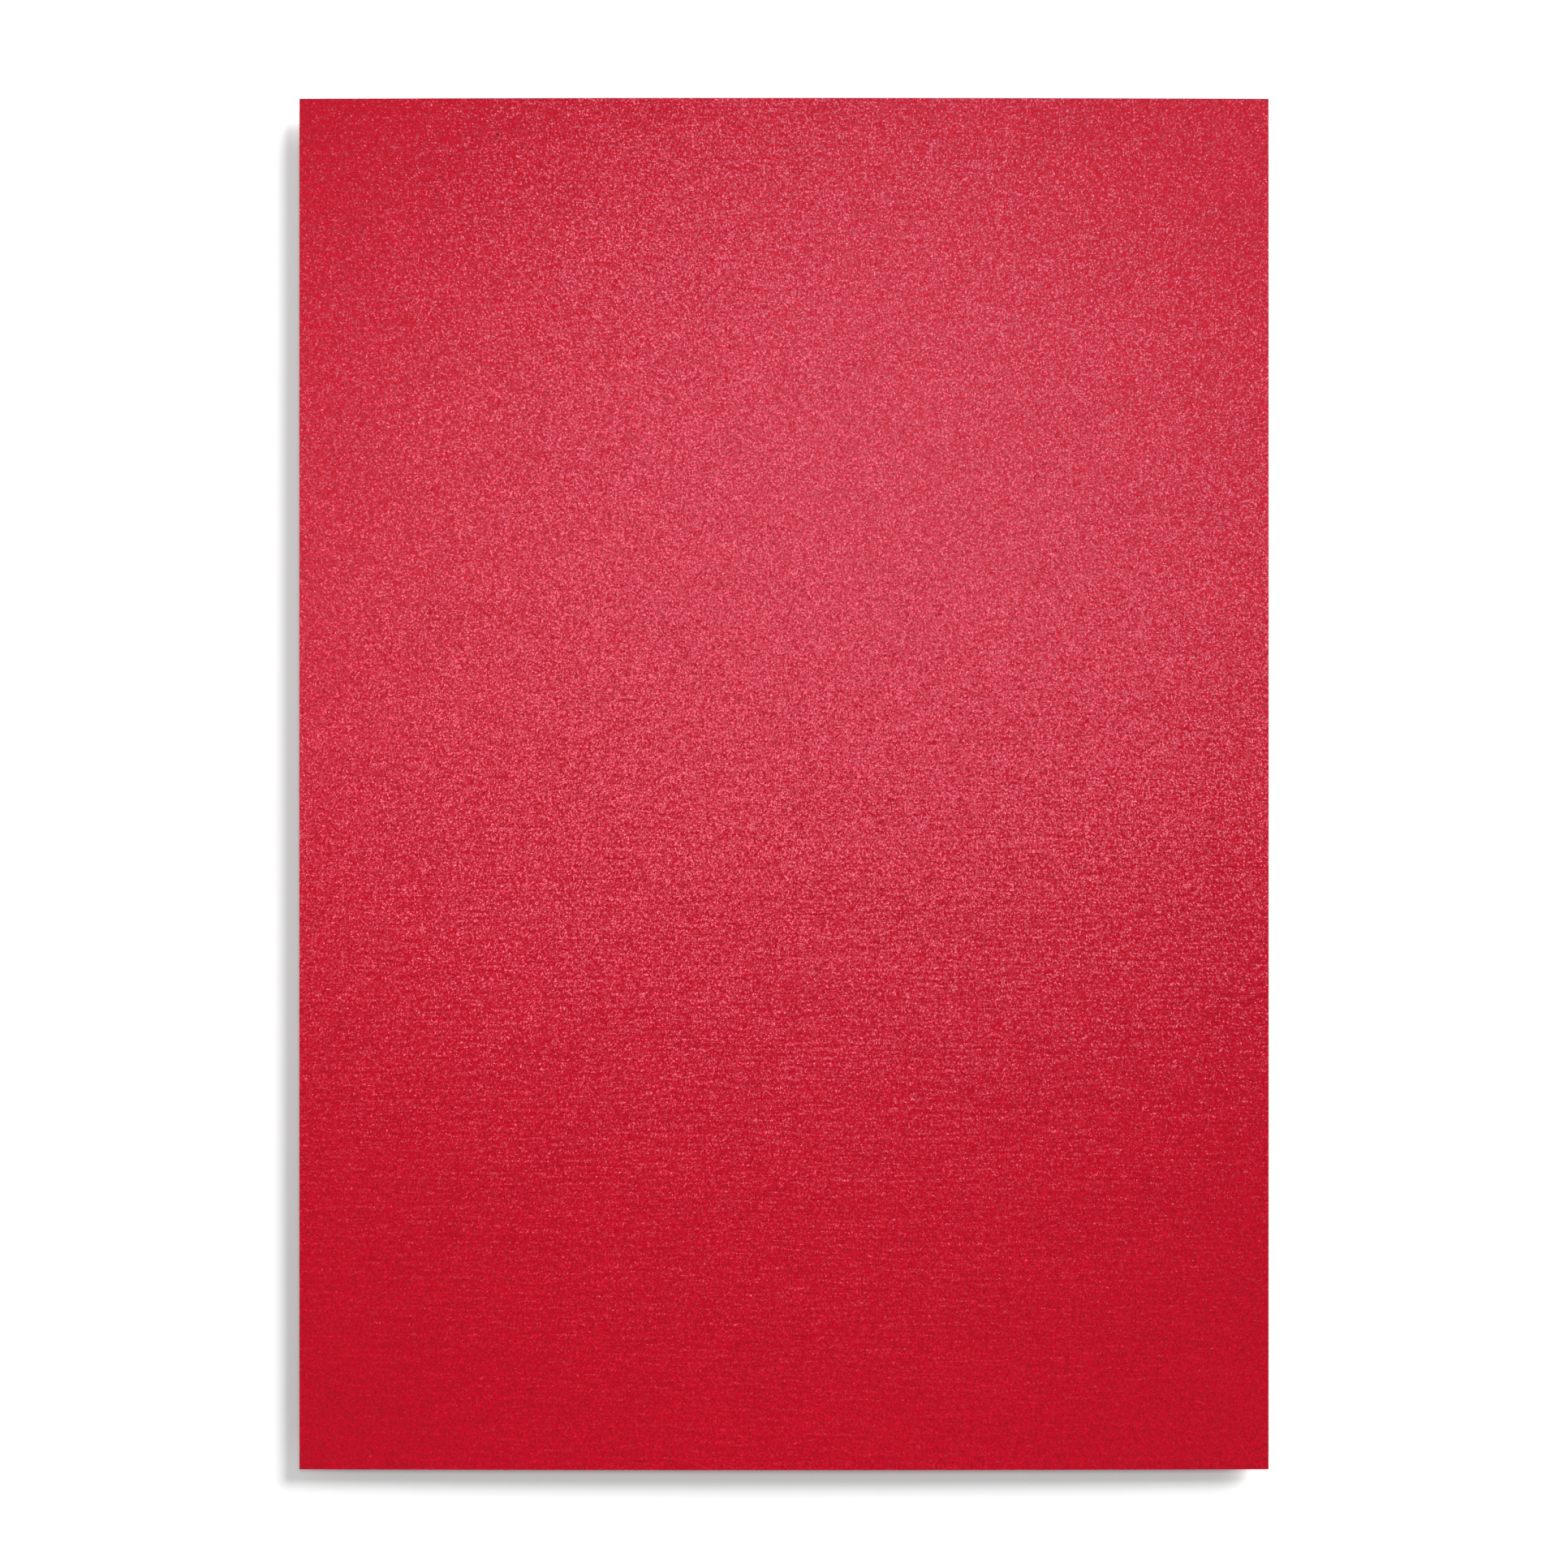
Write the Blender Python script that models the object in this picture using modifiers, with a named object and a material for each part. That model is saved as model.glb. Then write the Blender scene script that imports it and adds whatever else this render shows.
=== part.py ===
"""A flat A4 sheet of red pearlescent card, lying face up.

The sheet is three bonded layers: a dyed fibre core, and a thin pearl coat on its face and on its back.
X is the width, Y the length and Z the thickness. The origin is the centre of the underside.
"""

import bpy

# Driving dimensions, in metres.
SHEET_WIDTH = 0.210
SHEET_LENGTH = 0.297
CARD_THICKNESS = 0.00030  # the caliper of the whole card, both coats included
COAT_THICKNESS = 0.000015  # about 20 g/m2 of mica and binder on each side
BOND_GAP = 0.000001  # keeps the faces of two bonded layers from coinciding

CORE_THICKNESS = CARD_THICKNESS - 2 * (COAT_THICKNESS + BOND_GAP)


def clear_scene():
    """Removes every object, so that only the sheet is left."""
    for obj in list(bpy.data.objects):
        bpy.data.objects.remove(obj)


def finish_of(name, colour, roughness, metallic):
    """A Principled material. The colour is linear RGB."""
    material = bpy.data.materials.new(name)
    material.use_nodes = True
    shader = material.node_tree.nodes["Principled BSDF"]
    shader.inputs["Base Color"].default_value = (*colour, 1.0)
    shader.inputs["Roughness"].default_value = roughness
    shader.inputs["Metallic"].default_value = metallic
    return material


def collection_of(name):
    """A collection linked into the scene."""
    collection = bpy.data.collections.new(name)
    bpy.context.scene.collection.children.link(collection)
    return collection


def layer(name, underside, thickness, material, collection):
    """One full-size layer of the card: an open plane at its underside, thickened upwards."""
    bpy.ops.mesh.primitive_plane_add(size=1.0)
    obj = bpy.context.object
    obj.name = name
    obj.scale = (SHEET_WIDTH, SHEET_LENGTH, 1.0)
    bpy.ops.object.transform_apply(location=False, rotation=False, scale=True)
    obj.location.z = underside
    solidify = obj.modifiers.new("thickness", "SOLIDIFY")
    solidify.thickness = thickness
    solidify.offset = 1.0
    obj.data.materials.append(material)
    for linked in list(obj.users_collection):
        linked.objects.unlink(obj)
    collection.objects.link(obj)
    return obj


def build_sheet():
    """The three layers, from the underside up."""
    sheet = collection_of("pearlescent_card_sheet")
    pearl = finish_of("red_pearl_coat", (0.58, 0.012, 0.035), 0.42, 0.35)
    fibre = finish_of("red_dyed_fibre", (0.45, 0.010, 0.022), 0.85, 0.0)
    core_underside = COAT_THICKNESS + BOND_GAP
    face_underside = core_underside + CORE_THICKNESS + BOND_GAP
    layer("back_pearl_coat", 0.0, COAT_THICKNESS, pearl, sheet)
    layer("fibre_core", core_underside, CORE_THICKNESS, fibre, sheet)
    layer("face_pearl_coat", face_underside, COAT_THICKNESS, pearl, sheet)


clear_scene()
build_sheet()
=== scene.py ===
# %% [markdown]
# # A sheet of red pearlescent card
# The object is one sheet of A4 card, 0.3 mm thick, lying face up. A paper mill makes such a card in
# three layers: a core of fibres dyed right through, and a thin coat of shimmering mica on each side.
# Here each layer is a piece of its own. The sheet isn't perfectly flat, because card takes up water
# from the air and curls, and that curl is what the light shows.

# %% Load the frame
from math import radians

import bmesh
import bpy
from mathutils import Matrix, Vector


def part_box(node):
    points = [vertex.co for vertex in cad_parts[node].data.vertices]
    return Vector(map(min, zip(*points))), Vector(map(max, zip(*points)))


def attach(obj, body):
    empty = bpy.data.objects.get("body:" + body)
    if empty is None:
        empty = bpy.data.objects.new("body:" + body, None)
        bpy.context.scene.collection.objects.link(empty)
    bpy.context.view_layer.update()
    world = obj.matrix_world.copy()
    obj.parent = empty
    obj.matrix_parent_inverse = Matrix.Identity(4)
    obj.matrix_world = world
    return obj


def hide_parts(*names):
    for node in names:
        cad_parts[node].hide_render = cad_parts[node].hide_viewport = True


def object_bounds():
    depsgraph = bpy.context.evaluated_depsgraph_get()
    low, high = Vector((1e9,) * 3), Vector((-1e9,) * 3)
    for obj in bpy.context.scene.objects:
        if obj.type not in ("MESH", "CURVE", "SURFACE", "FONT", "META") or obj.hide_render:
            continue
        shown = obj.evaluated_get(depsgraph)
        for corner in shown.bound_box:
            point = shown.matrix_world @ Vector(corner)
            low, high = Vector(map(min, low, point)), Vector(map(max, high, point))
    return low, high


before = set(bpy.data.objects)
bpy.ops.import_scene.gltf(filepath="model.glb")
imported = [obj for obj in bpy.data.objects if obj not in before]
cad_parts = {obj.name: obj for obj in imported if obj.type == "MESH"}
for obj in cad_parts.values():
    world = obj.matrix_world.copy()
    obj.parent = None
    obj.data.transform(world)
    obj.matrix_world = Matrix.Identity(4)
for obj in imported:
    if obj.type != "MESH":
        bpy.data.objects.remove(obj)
cad_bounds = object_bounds()
low, high = cad_bounds
print("sheet in metres:", [round(side, 5) for side in high - low])

# %% [markdown]
# ## Two habits for working with operators
# An operator acts on everything that is selected. So each step starts by selecting only what it
# should touch: one object in object mode, or in edit mode the points that pass a test.

# %% Selecting helpers
MM = 0.001


def select_only(piece):
    """Makes one object the selected and active one."""
    bpy.ops.object.select_all(action="DESELECT")
    piece.select_set(True)
    bpy.context.view_layer.objects.active = piece


def lift(piece, height, chosen):
    """Raises the points of the piece in edit mode that the test picks."""
    cage = bmesh.from_edit_mesh(piece.data)
    for point in cage.verts:
        point.select = chosen(point.co)
    cage.select_flush(True)
    bmesh.update_edit_mesh(piece.data)
    bpy.ops.transform.translate(value=(0, 0, height))


def apply_modifiers(piece):
    """Applies every modifier of the piece, first to last."""
    select_only(piece)
    for modifier in list(piece.modifiers):
        bpy.ops.object.modifier_apply(modifier=modifier.name)


# %% [markdown]
# ## The curled surface
# A real sheet curls like a very shallow dish: its middle rests on the table and its rim stands a few
# millimetres clear. It could be simulated as cloth, but the curl comes from damp and not from weight,
# so it is easier to shape a coarse cage of a few points and let Subdivision Surface make it
# smooth. A point rises by the square of its distance from the middle, which is how an evenly bent
# strip rises. A corner rises much less than its two edges together, because card hardly stretches and
# so can't bend fully both ways at once.

# %% Shape the cage
CAGE_COLUMNS = 6
CAGE_ROWS = 8
SIDE_RISE = 3.6 * MM
END_RISE = 4.0 * MM
CORNER_EASE = 4.2 * MM
TINY = 0.01 * MM

half = (high - low) / 2
middle = (high + low) / 2

bpy.ops.object.select_all(action="DESELECT")
bpy.ops.mesh.primitive_grid_add(x_subdivisions=CAGE_COLUMNS, y_subdivisions=CAGE_ROWS, size=2)
curl = bpy.context.object
curl.name = "curl"
curl.scale = (half.x, half.y, 1)
curl.location = (middle.x, middle.y, 0)
bpy.ops.object.transform_apply(location=True, rotation=False, scale=True)

bpy.ops.object.mode_set(mode="EDIT")
for column in range(CAGE_COLUMNS + 1):
    across = 2 * column / CAGE_COLUMNS - 1
    for row in range(CAGE_ROWS + 1):
        along = 2 * row / CAGE_ROWS - 1
        x = middle.x + across * half.x
        y = middle.y + along * half.y
        height = SIDE_RISE * across**2 + END_RISE * along**2 - CORNER_EASE * (across * along) ** 2
        lift(curl, height, lambda co: abs(co.x - x) < TINY and abs(co.y - y) < TINY)
bpy.ops.object.mode_set(mode="OBJECT")
print("cage points:", len(curl.data.vertices), "corner rise:", round(height / MM, 2), "mm")

# %% [markdown]
# Paper fibres lie mostly along one direction, and the sheet swells more across them. That leaves
# faint waves, called cockle, a few hundredths of a millimetre high. They are a Displace modifier with
# a cloud pattern, stretched sideways by the scale of an empty that only lends its coordinates.

# %% Smooth the cage and add the cockle
SMOOTHING = 5
COCKLE_HEIGHT = 0.10 * MM
COCKLE_ACROSS = 60 * MM
COCKLE_ALONG = 16 * MM

smooth = curl.modifiers.new("smooth", "SUBSURF")
smooth.levels = SMOOTHING
smooth.render_levels = SMOOTHING
smooth.boundary_smooth = "PRESERVE_CORNERS"

bpy.ops.object.empty_add()
stretch = bpy.context.object
stretch.scale = (COCKLE_ACROSS, COCKLE_ALONG, COCKLE_ALONG)
clouds = bpy.data.textures.new("cockle_clouds", "CLOUDS")
clouds.noise_scale = 1
cockle = curl.modifiers.new("cockle", "DISPLACE")
cockle.texture = clouds
cockle.texture_coords = "OBJECT"
cockle.texture_coords_object = stretch
cockle.direction = "Z"
cockle.strength = COCKLE_HEIGHT
bpy.context.view_layer.update()
apply_modifiers(curl)
bpy.data.objects.remove(stretch)

lowest = min(point.co.z for point in curl.data.vertices)
bpy.ops.object.mode_set(mode="EDIT")
lift(curl, low.z - lowest, lambda co: True)
bpy.ops.object.mode_set(mode="OBJECT")
rise = max(point.co.z for point in curl.data.vertices)
print("curled surface:", len(curl.data.polygons), "faces, rising", round(rise / MM, 2), "mm")

# %% [markdown]
# ## The three layers
# Each layer is a copy of that surface, moved along its own normals to the layer's underside, and
# Solidify gives it its thickness. The heights come from the frame, so the layers keep the bond line
# of a thousandth of a millimetre between them.


# %% Make the layers
EDGE_ANGLE = 0.6


def card_layer(node):
    """A copy of the curled surface, as thick and as high as the frame's own flat layer."""
    layer_low, layer_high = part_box(node)
    thickness = layer_high.z - layer_low.z
    select_only(curl)
    bpy.ops.object.duplicate()
    layer = bpy.context.object
    layer.name = "curled_" + node
    layer.data.name = layer.name
    bpy.ops.object.mode_set(mode="EDIT")
    bpy.ops.mesh.select_all(action="SELECT")
    bpy.ops.transform.shrink_fatten(value=layer_low.z - low.z)
    bpy.ops.object.mode_set(mode="OBJECT")
    wall = layer.modifiers.new("thickness", "SOLIDIFY")
    wall.thickness = thickness
    wall.offset = 1
    apply_modifiers(layer)
    bpy.ops.object.shade_smooth_by_angle(angle=EDGE_ANGLE)
    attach(layer, "root")
    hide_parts(node)
    print(layer.name, len(layer.data.polygons), "faces,", round(thickness / MM, 4), "mm thick")
    return layer


back = card_layer("back_pearl_coat")
core = card_layer("fibre_core")
face = card_layer("face_pearl_coat")
bpy.data.objects.remove(curl)

# %% [markdown]
# ## Colours and nodes
# Colours are written as they look on a screen, in hex, and turned to the linear values that a shader
# works with. One function adds a node, sets it up and links it.


# %% Colour and node helpers
def linear(code):
    """A linear RGBA colour from an sRGB hex code."""
    channels = [int(code[at:at + 2], 16) / 255 for at in (0, 2, 4)]
    return (*[c / 12.92 if c <= 0.04045 else ((c + 0.055) / 1.055) ** 2.4 for c in channels], 1)


def add(tree, kind, settings=None, inputs=None):
    """Adds a node. Settings are its own properties; inputs are values, or sockets to link from."""
    node = tree.nodes.new(kind)
    for name, value in (settings or {}).items():
        setattr(node, name, value)
    for name, value in (inputs or {}).items():
        if isinstance(value, bpy.types.NodeSocket):
            tree.links.new(value, node.inputs[name])
        else:
            node.inputs[name].default_value = value
    return node


def material_of(name):
    """A new material, its node tree and its Principled shader."""
    material = bpy.data.materials.new(name)
    material.use_nodes = True
    return material, material.node_tree, material.node_tree.nodes["Principled BSDF"]


# %% [markdown]
# ## The pearl coat
# The coat is mica flakes covered in titania, in a clear binder, brushed onto dyed fibres and pressed.
# Two things reach the eye: the deep red of the dye, which is the same from everywhere, and a pinkish
# shimmer where the flakes mirror the light. Each flake is a flat little mirror that lies nearly level,
# tipped one way or another, so the shimmer is a broad soft highlight made of bright and dark specks.
# Real flakes are 0.01 to 0.06 mm wide, too fine to show, so here they are about a fifth of a
# millimetre, as coarse as they need to be to show as a fine even grain.

# %% Flakes
FLAKE = 0.22 * MM
FLAKE_TILT = 0.17


def mica_flakes(tree, place):
    """Three random values for each flake, from the cells of a Voronoi pattern."""
    cells = add(tree, "ShaderNodeTexVoronoi", {"voronoi_dimensions": "2D"}, {
        "Vector": place,
        "Scale": 1 / FLAKE,
    })
    return cells.outputs["Color"]


def tipped(tree, flakes):
    """The surface's normal, tipped on each flake by the first two of its random values."""
    tilt = add(tree, "ShaderNodeVectorMath", {"operation": "MULTIPLY_ADD"}, {
        0: flakes,
        1: (2 * FLAKE_TILT, 2 * FLAKE_TILT, 0),
        2: (-FLAKE_TILT, -FLAKE_TILT, 0),
    })
    upright = add(tree, "ShaderNodeNewGeometry").outputs["Normal"]
    leaning = add(tree, "ShaderNodeVectorMath", {"operation": "ADD"}, {0: upright, 1: tilt.outputs[0]})
    unit = add(tree, "ShaderNodeVectorMath", {"operation": "NORMALIZE"}, {0: leaning.outputs[0]})
    return unit.outputs[0]


# %% [markdown]
# Under the flakes lies the paper's own grain: soft lumps about one and a half millimetres wide, and
# wisps a centimetre long where bundles of fibre lie across the sheet. Both are only hundredths of a
# millimetre high, so they are bumps and not geometry.

# %% Grain and wisps
GRAIN_LUMP = 1.6 * MM
GRAIN_STRETCH = 1.1
GRAIN_RELIEF = 0.06 * MM
WISP_LENGTH = 9 * MM
WISP_WIDTH = 1.0 * MM
WISP_RELIEF = 0.07 * MM


def stretched_noise(tree, place, size, stretch, detail, roughness):
    """A noise whose lumps are so wide along Y, and longer along X by the stretch."""
    longer = add(tree, "ShaderNodeMapping", inputs={"Vector": place, "Scale": (1 / stretch, 1, 1)})
    return add(tree, "ShaderNodeTexNoise", inputs={
        "Vector": longer.outputs["Vector"],
        "Scale": 1 / size,
        "Detail": detail,
        "Roughness": roughness,
    })


def paper_relief(tree, place, grain_relief, normal):
    """The normal with the pressed grain and the long soft wisps of fibre added to it."""
    grain = stretched_noise(tree, place, GRAIN_LUMP, GRAIN_STRETCH, detail=1, roughness=0.8)
    wisp_stretch = WISP_LENGTH / WISP_WIDTH
    wisps = stretched_noise(tree, place, WISP_WIDTH, wisp_stretch, detail=1, roughness=0.5)
    bump = add(tree, "ShaderNodeBump", inputs={
        "Height": grain.outputs["Fac"],
        "Distance": grain_relief,
        "Normal": normal,
    })
    return add(tree, "ShaderNodeBump", inputs={
        "Height": wisps.outputs["Fac"],
        "Distance": WISP_RELIEF,
        "Normal": bump.outputs["Normal"],
    }).outputs["Normal"]


# %% [markdown]
# The colour isn't even either. A bare flake is smooth and bright, and one that is deep in the binder
# is rough and darker, so the third random value sets both the shade and the roughness. The pulp also
# settles in soft clouds about a centimetre wide, which a papermaker calls the formation.

# %% Dye
BURIED_RED = "980014"
BARE_RED = "C40824"
BURIED_ROUGHNESS = 0.36
BARE_ROUGHNESS = 0.24
CLOUD = 11 * MM
CLOUD_STRETCH = 1.6
CLOUD_SHADE = "F0F0F0"


def bareness(tree, flakes):
    """0 for a flake deep in the binder, 1 for a bare one."""
    return add(tree, "ShaderNodeSeparateXYZ", inputs={"Vector": flakes}).outputs["Z"]


def coat_roughness(tree, bare):
    """Smooth on a bare flake, rougher on a buried one."""
    return add(tree, "ShaderNodeMapRange", inputs={
        "Value": bare,
        "To Min": BURIED_ROUGHNESS,
        "To Max": BARE_ROUGHNESS,
    }).outputs["Result"]


def dye_pattern(tree, place, bare):
    """The red of the dyed fibres, lighter where flakes lie bare, and faintly clouded."""
    specked = add(tree, "ShaderNodeMix", {"data_type": "RGBA"}, {
        "Factor": bare,
        "A": linear(BURIED_RED),
        "B": linear(BARE_RED),
    })
    clouds = stretched_noise(tree, place, CLOUD, CLOUD_STRETCH, detail=3, roughness=0.6)
    return add(tree, "ShaderNodeMix", {"data_type": "RGBA", "blend_type": "MULTIPLY"}, {
        "Factor": clouds.outputs["Fac"],
        "A": specked.outputs["Result"],
        "B": linear(CLOUD_SHADE),
    }).outputs["Result"]


# %% [markdown]
# No sheet is without a flaw. A shive is a splinter of bark that came through with the pulp, and this
# one lies near the top left corner, half a millimetre wide. A Mapping node of type Texture moves the
# pattern's zero to it and measures in its own half widths, so the shive is where the length is below 1,
# with an edge that fades from the inner end of its blur to the outer one.

# %% Shive
SHIVE_PLACE = (middle.x - 62.1 * MM, middle.y + 140.6 * MM, high.z)
SHIVE_HALF_SIZE = (0.25 * MM, 0.45 * MM, 100 * MM)
SHIVE_BLUR = (0.7, 1.3)
SHIVE_BROWN = "5A0512"


def with_shive(tree, place, dye):
    """The dye colour, dark where the shive lies."""
    reach = add(tree, "ShaderNodeMapping", {"vector_type": "TEXTURE"}, {
        "Vector": place,
        "Location": SHIVE_PLACE,
        "Scale": SHIVE_HALF_SIZE,
    })
    length = add(tree, "ShaderNodeVectorMath", {"operation": "LENGTH"}, {0: reach.outputs["Vector"]})
    inside = add(tree, "ShaderNodeMapRange", inputs={
        "Value": length.outputs["Value"],
        "From Min": SHIVE_BLUR[1],
        "From Max": SHIVE_BLUR[0],
    })
    return add(tree, "ShaderNodeMix", {"data_type": "RGBA"}, {
        "Factor": inside.outputs["Result"],
        "A": dye,
        "B": linear(SHIVE_BROWN),
    }).outputs["Result"]


# %% [markdown]
# The shader is a Principled one. Mica in titania bends light more than plain varnish does, so its IOR
# is a little above the 1.5 of a binder, and the Specular Tint gives the shimmer its pink.

# %% Pearl coat material
COAT_IOR = 1.82
SHIMMER_PINK = "FFAECB"
BACK_SHIFT = (0.4, 0.3, 0.2)
BACK_GRAIN_RELIEF = 1.1 * GRAIN_RELIEF


def pearl_coat(name, grain_relief, shift, shive):
    """Mica coat over dyed fibre. The shift starts the pattern elsewhere, so the two sides differ."""
    material, tree, shader = material_of(name)
    place = add(tree, "ShaderNodeTexCoord").outputs["Object"]
    moved = add(tree, "ShaderNodeMapping", inputs={"Vector": place, "Location": shift}).outputs["Vector"]
    flakes = mica_flakes(tree, moved)
    bare = bareness(tree, flakes)
    dye = dye_pattern(tree, moved, bare)
    if shive:
        dye = with_shive(tree, place, dye)
    tree.links.new(dye, shader.inputs["Base Color"])
    relief = paper_relief(tree, moved, grain_relief, tipped(tree, flakes))
    tree.links.new(relief, shader.inputs["Normal"])
    tree.links.new(coat_roughness(tree, bare), shader.inputs["Roughness"])
    shader.inputs["IOR"].default_value = COAT_IOR
    shader.inputs["Specular Tint"].default_value = linear(SHIMMER_PINK)
    print(name, "has", len(tree.nodes), "nodes")
    return material


face_coat = pearl_coat("red pearl mica coat, felt side", GRAIN_RELIEF, (0, 0, 0), True)
back_coat = pearl_coat("red pearl mica coat, wire side", BACK_GRAIN_RELIEF, BACK_SHIFT, False)

# %% [markdown]
# ## The cut edge
# A guillotine shears the sheet, so its edge shows the core: cellulose fibres dyed right through, matt
# and a little frayed, without any mica. Fibres lie flat in the sheet, so on the edge they are thin
# lines, a millimetre long and a twentieth of that high. That is a noise squeezed along Z.

# %% Fibre core material
FIBRE_LENGTH = 1.1 * MM
FIBRE_HEIGHT = 0.05 * MM
FRAY = 0.02 * MM
FIBRE_DARK = "7E0817"
FIBRE_LIGHT = "CE2239"
FIBRE_ROUGHNESS = 0.9

core_fibre, tree, shader = material_of("red dyed cellulose fibre, guillotined")
strands = add(tree, "ShaderNodeTexNoise", inputs={
    "Vector": add(tree, "ShaderNodeMapping", inputs={
        "Vector": add(tree, "ShaderNodeTexCoord").outputs["Object"],
        "Scale": (1 / FIBRE_LENGTH, 1 / FIBRE_LENGTH, 1 / FIBRE_HEIGHT),
    }).outputs["Vector"],
    "Scale": 1,
    "Detail": 2,
})
dyed = add(tree, "ShaderNodeMix", {"data_type": "RGBA"}, {
    "Factor": strands.outputs["Fac"],
    "A": linear(FIBRE_DARK),
    "B": linear(FIBRE_LIGHT),
})
frayed = add(tree, "ShaderNodeBump", inputs={"Height": strands.outputs["Fac"], "Distance": FRAY})
tree.links.new(dyed.outputs["Result"], shader.inputs["Base Color"])
tree.links.new(frayed.outputs["Normal"], shader.inputs["Normal"])
shader.inputs["Roughness"].default_value = FIBRE_ROUGHNESS

# %% [markdown]
# ## Materials
# Each layer gets its finish.

# %% Assign the materials
for layer, material, slot in (
    (face, face_coat, "pearl_coat"),
    (back, back_coat, "pearl_coat"),
    (core, core_fibre, "dyed_fibre"),
):
    layer.data.materials.clear()
    layer.data.materials.append(material)
    print(layer.name, "is", material.name)

# %% [markdown]
# ## The studio
# The sheet lies on white sweep paper. It is a plane just below the sheet, matt and without any shine,
# and wide enough to reach the horizon from every side.

# %% Floor
FLOOR_SIZE = 12
FLOOR_GAP = 0.01 * MM
FLOOR_WHITE = "F7F7F7"

bpy.ops.object.select_all(action="DESELECT")
floor_place = (middle.x, middle.y, low.z - FLOOR_GAP)
bpy.ops.mesh.primitive_plane_add(size=FLOOR_SIZE, location=floor_place)
floor = bpy.context.object
floor.name = "studio_floor"
white, tree, shader = material_of("matte white sweep paper")
shader.inputs["Base Color"].default_value = linear(FLOOR_WHITE)
shader.inputs["Roughness"].default_value = 1
shader.inputs["Specular IOR Level"].default_value = 0
floor.data.materials.append(white)
print("floor:", FLOOR_SIZE, "m wide")

# %% [markdown]
# ## Light
# Three lights, each with one job. The key comes from far away at the upper right and low, so it gives
# most of the plain red and the shadow on the other two sides, and its width blurs the shadow's edge.
# The overhead softbox hangs above the sheet, where the mica mirrors it, so its place and size set the
# shimmer. A weaker one hangs above the left, to carry the shimmer over to that side.


# %% Lights
AIM = (0, 0, 0)
KEY_PLACE = (1.3, 1.3, 0.8)
KEY_STRENGTH = 5.0
KEY_WIDTH_DEGREES = 24


def turn_to(lamp, aim):
    """Turns a lamp so that it shines on a point."""
    way = Vector(aim) - lamp.location
    lamp.rotation_euler = way.to_track_quat("-Z", "Y").to_euler()


def softbox(name, place, size, power):
    """A square area light that faces the sheet's middle and isn't seen itself."""
    bpy.ops.object.light_add(type="AREA", location=place)
    lamp = bpy.context.object
    lamp.name = name
    lamp.data.size = size
    lamp.data.energy = power
    lamp.visible_camera = False
    turn_to(lamp, AIM)
    print(name, "softbox", power, "W at", place)


bpy.ops.object.light_add(type="SUN", location=KEY_PLACE)
key = bpy.context.object
key.name = "key"
key.data.energy = KEY_STRENGTH
key.data.angle = radians(KEY_WIDTH_DEGREES)
turn_to(key, AIM)
print("key", KEY_STRENGTH, "W/m2 from", KEY_PLACE)

softbox("overhead", place=(0.03, 0.11, 0.55), size=0.16, power=0.97)
softbox("left", place=(-0.36, 0.08, 0.55), size=0.13, power=0.32)

# %% [markdown]
# The room itself lights the sheet a little. Its walls are white and its ceiling is dark, because a
# bright ceiling would be mirrored all over the sheet and wash the shimmer out. The walls are the part
# of the world near the horizon, so the strength is read from the height of the direction. Seen
# directly, the world is plain white, like the paper.

# %% Room
WALLS = 1.1
CEILING = 0.0
WALL_TOP = 0.4
CEILING_EDGE = 0.8
WHITE = (1, 1, 1, 1)

world = bpy.data.worlds.new("studio")
bpy.context.scene.world = world
world.use_nodes = True
air = world.node_tree
room = air.nodes["Background"]
direction = add(air, "ShaderNodeTexCoord").outputs["Generated"]
height = add(air, "ShaderNodeSeparateXYZ", inputs={"Vector": direction}).outputs["Z"]
strength = add(air, "ShaderNodeMapRange", {"interpolation_type": "SMOOTHSTEP"}, {
    "Value": height,
    "From Min": WALL_TOP,
    "From Max": CEILING_EDGE,
    "To Min": WALLS,
    "To Max": CEILING,
})
air.links.new(strength.outputs["Result"], room.inputs["Strength"])
room.inputs["Color"].default_value = WHITE
backdrop = add(air, "ShaderNodeBackground", inputs={"Color": WHITE, "Strength": 1.0})
seen = add(air, "ShaderNodeLightPath").outputs["Is Camera Ray"]
both = add(air, "ShaderNodeMixShader", inputs={
    0: seen,
    1: room.outputs["Background"],
    2: backdrop.outputs["Background"],
})
air.links.new(both.outputs["Shader"], air.nodes["World Output"].inputs["Surface"])
print("room: walls", WALLS, "ceiling", CEILING)

# %% [markdown]
# ## Camera
# The camera looks straight down on the middle of the sheet. The sheet nearly fills the height of a
# square view, and the distance follows from the lens: it is the view's width at the sheet's rim times
# the lens's length over the sensor's width.

# %% Camera
LENS = 45
SENSOR = 36
VIEW_WIDTH = 0.3393

rim = max(point.co.z for point in face.data.vertices)
bpy.ops.object.camera_add(location=(middle.x, middle.y, rim + VIEW_WIDTH * LENS / SENSOR))
camera = bpy.context.object
camera.data.lens = LENS
camera.data.sensor_width = SENSOR
bpy.context.scene.camera = camera
bpy.context.scene.view_settings.view_transform = "Standard"
print("camera", round(camera.location.z, 3), "m above the floor")
